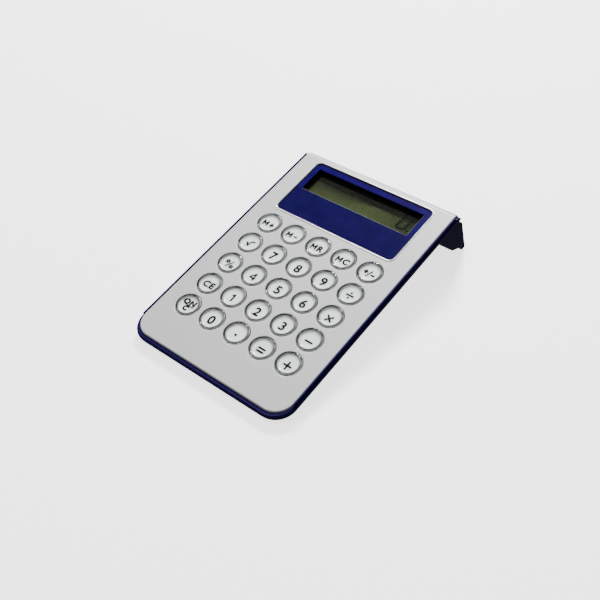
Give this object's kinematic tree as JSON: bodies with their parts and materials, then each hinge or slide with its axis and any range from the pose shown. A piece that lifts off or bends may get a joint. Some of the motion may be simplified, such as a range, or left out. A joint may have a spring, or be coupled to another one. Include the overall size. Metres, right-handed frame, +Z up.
{
  "type": "desk calculator",
  "caption": "Slim wedge desk calculator: silver face plate on a blue case with a rear leg, a blue display panel with a sunk window, and a block of round clear push keys.",
  "frame": {"origin": "on the surface it stands on, in the middle of its width and length", "axes": "+Z up, +Y from the user towards the display end, +X to the user's right"},
  "size_m": [0.1004, 0.153, 0.0285],
  "materials": {
    "blue_plastic": "fine moulded satin gloss",
    "silver_plastic": "satin silver paint",
    "clear_plastic": "clear polished moulding",
    "display_film": "grey-green polariser",
    "display_glass": "thin float glass",
    "black_plastic": "fine moulded texture",
    "ribbon_film": "amber film with printed lines",
    "board": "green solder mask over laminate",
    "grey_rubber": "moulded silicone",
    "carbon_rubber": "matt carbon",
    "epoxy": "black potting",
    "component": "ceramic and moulded cases",
    "screw_steel": "bright zinc plate",
    "battery_shell": "printed metal jacket",
    "contact_metal": "nickel plate",
    "black_rubber": "moulded rubber"
  },
  "bodies": {
    "case": {"lower_case": "blue_plastic", "top_plate": "silver_plastic", "display_bezel": "blue_plastic", "display_lens": "clear_plastic", "display_polarizer": "display_film", "display_glass": "display_glass", "display_reflector": "display_film", "display_tray": "black_plastic", "display_ribbon": "ribbon_film", "circuit_board": "board", "keypad_membrane": "grey_rubber", "contact_pills": "carbon_rubber", "processor_blob": "epoxy", "board_capacitor": "component", "board_resistors": "component", "case_screws": "screw_steel", "board_screws": "screw_steel", "battery": "battery_shell", "battery_contact_positive": "contact_metal", "battery_contact_negative": "contact_metal", "battery_spring": "contact_metal", "front_feet": "black_rubber", "rear_foot": "black_rubber"},
    "battery_door": {"battery_door": "blue_plastic"},
    "key_on_clear": {"key_on_clear": "clear_plastic"},
    "key_0": {"key_0": "clear_plastic"},
    "key_point": {"key_point": "clear_plastic"},
    "key_equals": {"key_equals": "clear_plastic"},
    "key_plus": {"key_plus": "clear_plastic"},
    "key_clear_entry": {"key_clear_entry": "clear_plastic"},
    "key_1": {"key_1": "clear_plastic"},
    "key_2": {"key_2": "clear_plastic"},
    "key_3": {"key_3": "clear_plastic"},
    "key_minus": {"key_minus": "clear_plastic"},
    "key_percent": {"key_percent": "clear_plastic"},
    "key_4": {"key_4": "clear_plastic"},
    "key_5": {"key_5": "clear_plastic"},
    "key_6": {"key_6": "clear_plastic"},
    "key_multiply": {"key_multiply": "clear_plastic"},
    "key_square_root": {"key_square_root": "clear_plastic"},
    "key_7": {"key_7": "clear_plastic"},
    "key_8": {"key_8": "clear_plastic"},
    "key_9": {"key_9": "clear_plastic"},
    "key_divide": {"key_divide": "clear_plastic"},
    "key_memory_plus": {"key_memory_plus": "clear_plastic"},
    "key_memory_minus": {"key_memory_minus": "clear_plastic"},
    "key_memory_recall": {"key_memory_recall": "clear_plastic"},
    "key_memory_clear": {"key_memory_clear": "clear_plastic"},
    "key_sign": {"key_sign": "clear_plastic"}
  },
  "joints": [
    {"name": "key_on_clear_press", "type": "slide", "parent": "case", "child": "key_on_clear", "axis": [0, 0.1564, -0.9877], "range_m": [0, 0.001], "stiffness_N_per_m": 400, "springref_m": -0.0004, "deforming": ["keypad_membrane", "contact_pills"]},
    {"name": "key_0_press", "type": "slide", "parent": "case", "child": "key_0", "axis": [0, 0.1564, -0.9877], "range_m": [0, 0.001], "stiffness_N_per_m": 400, "springref_m": -0.0004, "deforming": ["keypad_membrane", "contact_pills"]},
    {"name": "key_point_press", "type": "slide", "parent": "case", "child": "key_point", "axis": [0, 0.1564, -0.9877], "range_m": [0, 0.001], "stiffness_N_per_m": 400, "springref_m": -0.0004, "deforming": ["keypad_membrane", "contact_pills"]},
    {"name": "key_equals_press", "type": "slide", "parent": "case", "child": "key_equals", "axis": [0, 0.1564, -0.9877], "range_m": [0, 0.001], "stiffness_N_per_m": 400, "springref_m": -0.0004, "deforming": ["keypad_membrane", "contact_pills"]},
    {"name": "key_plus_press", "type": "slide", "parent": "case", "child": "key_plus", "axis": [0, 0.1564, -0.9877], "range_m": [0, 0.001], "stiffness_N_per_m": 400, "springref_m": -0.0004, "deforming": ["keypad_membrane", "contact_pills"]},
    {"name": "key_clear_entry_press", "type": "slide", "parent": "case", "child": "key_clear_entry", "axis": [0, 0.1564, -0.9877], "range_m": [0, 0.001], "stiffness_N_per_m": 400, "springref_m": -0.0004, "deforming": ["keypad_membrane", "contact_pills"]},
    {"name": "key_1_press", "type": "slide", "parent": "case", "child": "key_1", "axis": [0, 0.1564, -0.9877], "range_m": [0, 0.001], "stiffness_N_per_m": 400, "springref_m": -0.0004, "deforming": ["keypad_membrane", "contact_pills"]},
    {"name": "key_2_press", "type": "slide", "parent": "case", "child": "key_2", "axis": [0, 0.1564, -0.9877], "range_m": [0, 0.001], "stiffness_N_per_m": 400, "springref_m": -0.0004, "deforming": ["keypad_membrane", "contact_pills"]},
    {"name": "key_3_press", "type": "slide", "parent": "case", "child": "key_3", "axis": [0, 0.1564, -0.9877], "range_m": [0, 0.001], "stiffness_N_per_m": 400, "springref_m": -0.0004, "deforming": ["keypad_membrane", "contact_pills"]},
    {"name": "key_minus_press", "type": "slide", "parent": "case", "child": "key_minus", "axis": [0, 0.1564, -0.9877], "range_m": [0, 0.001], "stiffness_N_per_m": 400, "springref_m": -0.0004, "deforming": ["keypad_membrane", "contact_pills"]},
    {"name": "key_percent_press", "type": "slide", "parent": "case", "child": "key_percent", "axis": [0, 0.1564, -0.9877], "range_m": [0, 0.001], "stiffness_N_per_m": 400, "springref_m": -0.0004, "deforming": ["keypad_membrane", "contact_pills"]},
    {"name": "key_4_press", "type": "slide", "parent": "case", "child": "key_4", "axis": [0, 0.1564, -0.9877], "range_m": [0, 0.001], "stiffness_N_per_m": 400, "springref_m": -0.0004, "deforming": ["keypad_membrane", "contact_pills"]},
    {"name": "key_5_press", "type": "slide", "parent": "case", "child": "key_5", "axis": [0, 0.1564, -0.9877], "range_m": [0, 0.001], "stiffness_N_per_m": 400, "springref_m": -0.0004, "deforming": ["keypad_membrane", "contact_pills"]},
    {"name": "key_6_press", "type": "slide", "parent": "case", "child": "key_6", "axis": [0, 0.1564, -0.9877], "range_m": [0, 0.001], "stiffness_N_per_m": 400, "springref_m": -0.0004, "deforming": ["keypad_membrane", "contact_pills"]},
    {"name": "key_multiply_press", "type": "slide", "parent": "case", "child": "key_multiply", "axis": [0, 0.1564, -0.9877], "range_m": [0, 0.001], "stiffness_N_per_m": 400, "springref_m": -0.0004, "deforming": ["keypad_membrane", "contact_pills"]},
    {"name": "key_square_root_press", "type": "slide", "parent": "case", "child": "key_square_root", "axis": [0, 0.1564, -0.9877], "range_m": [0, 0.001], "stiffness_N_per_m": 400, "springref_m": -0.0004, "deforming": ["keypad_membrane", "contact_pills"]},
    {"name": "key_7_press", "type": "slide", "parent": "case", "child": "key_7", "axis": [0, 0.1564, -0.9877], "range_m": [0, 0.001], "stiffness_N_per_m": 400, "springref_m": -0.0004, "deforming": ["keypad_membrane", "contact_pills"]},
    {"name": "key_8_press", "type": "slide", "parent": "case", "child": "key_8", "axis": [0, 0.1564, -0.9877], "range_m": [0, 0.001], "stiffness_N_per_m": 400, "springref_m": -0.0004, "deforming": ["keypad_membrane", "contact_pills"]},
    {"name": "key_9_press", "type": "slide", "parent": "case", "child": "key_9", "axis": [0, 0.1564, -0.9877], "range_m": [0, 0.001], "stiffness_N_per_m": 400, "springref_m": -0.0004, "deforming": ["keypad_membrane", "contact_pills"]},
    {"name": "key_divide_press", "type": "slide", "parent": "case", "child": "key_divide", "axis": [0, 0.1564, -0.9877], "range_m": [0, 0.001], "stiffness_N_per_m": 400, "springref_m": -0.0004, "deforming": ["keypad_membrane", "contact_pills"]},
    {"name": "key_memory_plus_press", "type": "slide", "parent": "case", "child": "key_memory_plus", "axis": [0, 0.1564, -0.9877], "range_m": [0, 0.001], "stiffness_N_per_m": 400, "springref_m": -0.0004, "deforming": ["keypad_membrane", "contact_pills"]},
    {"name": "key_memory_minus_press", "type": "slide", "parent": "case", "child": "key_memory_minus", "axis": [0, 0.1564, -0.9877], "range_m": [0, 0.001], "stiffness_N_per_m": 400, "springref_m": -0.0004, "deforming": ["keypad_membrane", "contact_pills"]},
    {"name": "key_memory_recall_press", "type": "slide", "parent": "case", "child": "key_memory_recall", "axis": [0, 0.1564, -0.9877], "range_m": [0, 0.001], "stiffness_N_per_m": 400, "springref_m": -0.0004, "deforming": ["keypad_membrane", "contact_pills"]},
    {"name": "key_memory_clear_press", "type": "slide", "parent": "case", "child": "key_memory_clear", "axis": [0, 0.1564, -0.9877], "range_m": [0, 0.001], "stiffness_N_per_m": 400, "springref_m": -0.0004, "deforming": ["keypad_membrane", "contact_pills"]},
    {"name": "key_sign_press", "type": "slide", "parent": "case", "child": "key_sign", "axis": [0, 0.1564, -0.9877], "range_m": [0, 0.001], "stiffness_N_per_m": 400, "springref_m": -0.0004, "deforming": ["keypad_membrane", "contact_pills"]},
    {"name": "battery_door_swing", "type": "hinge", "parent": "case", "child": "battery_door", "pos_m": [0, 0.05457, 0.01799], "axis": [-1, 0, 0], "range_deg": [0, 80]}
  ]
}
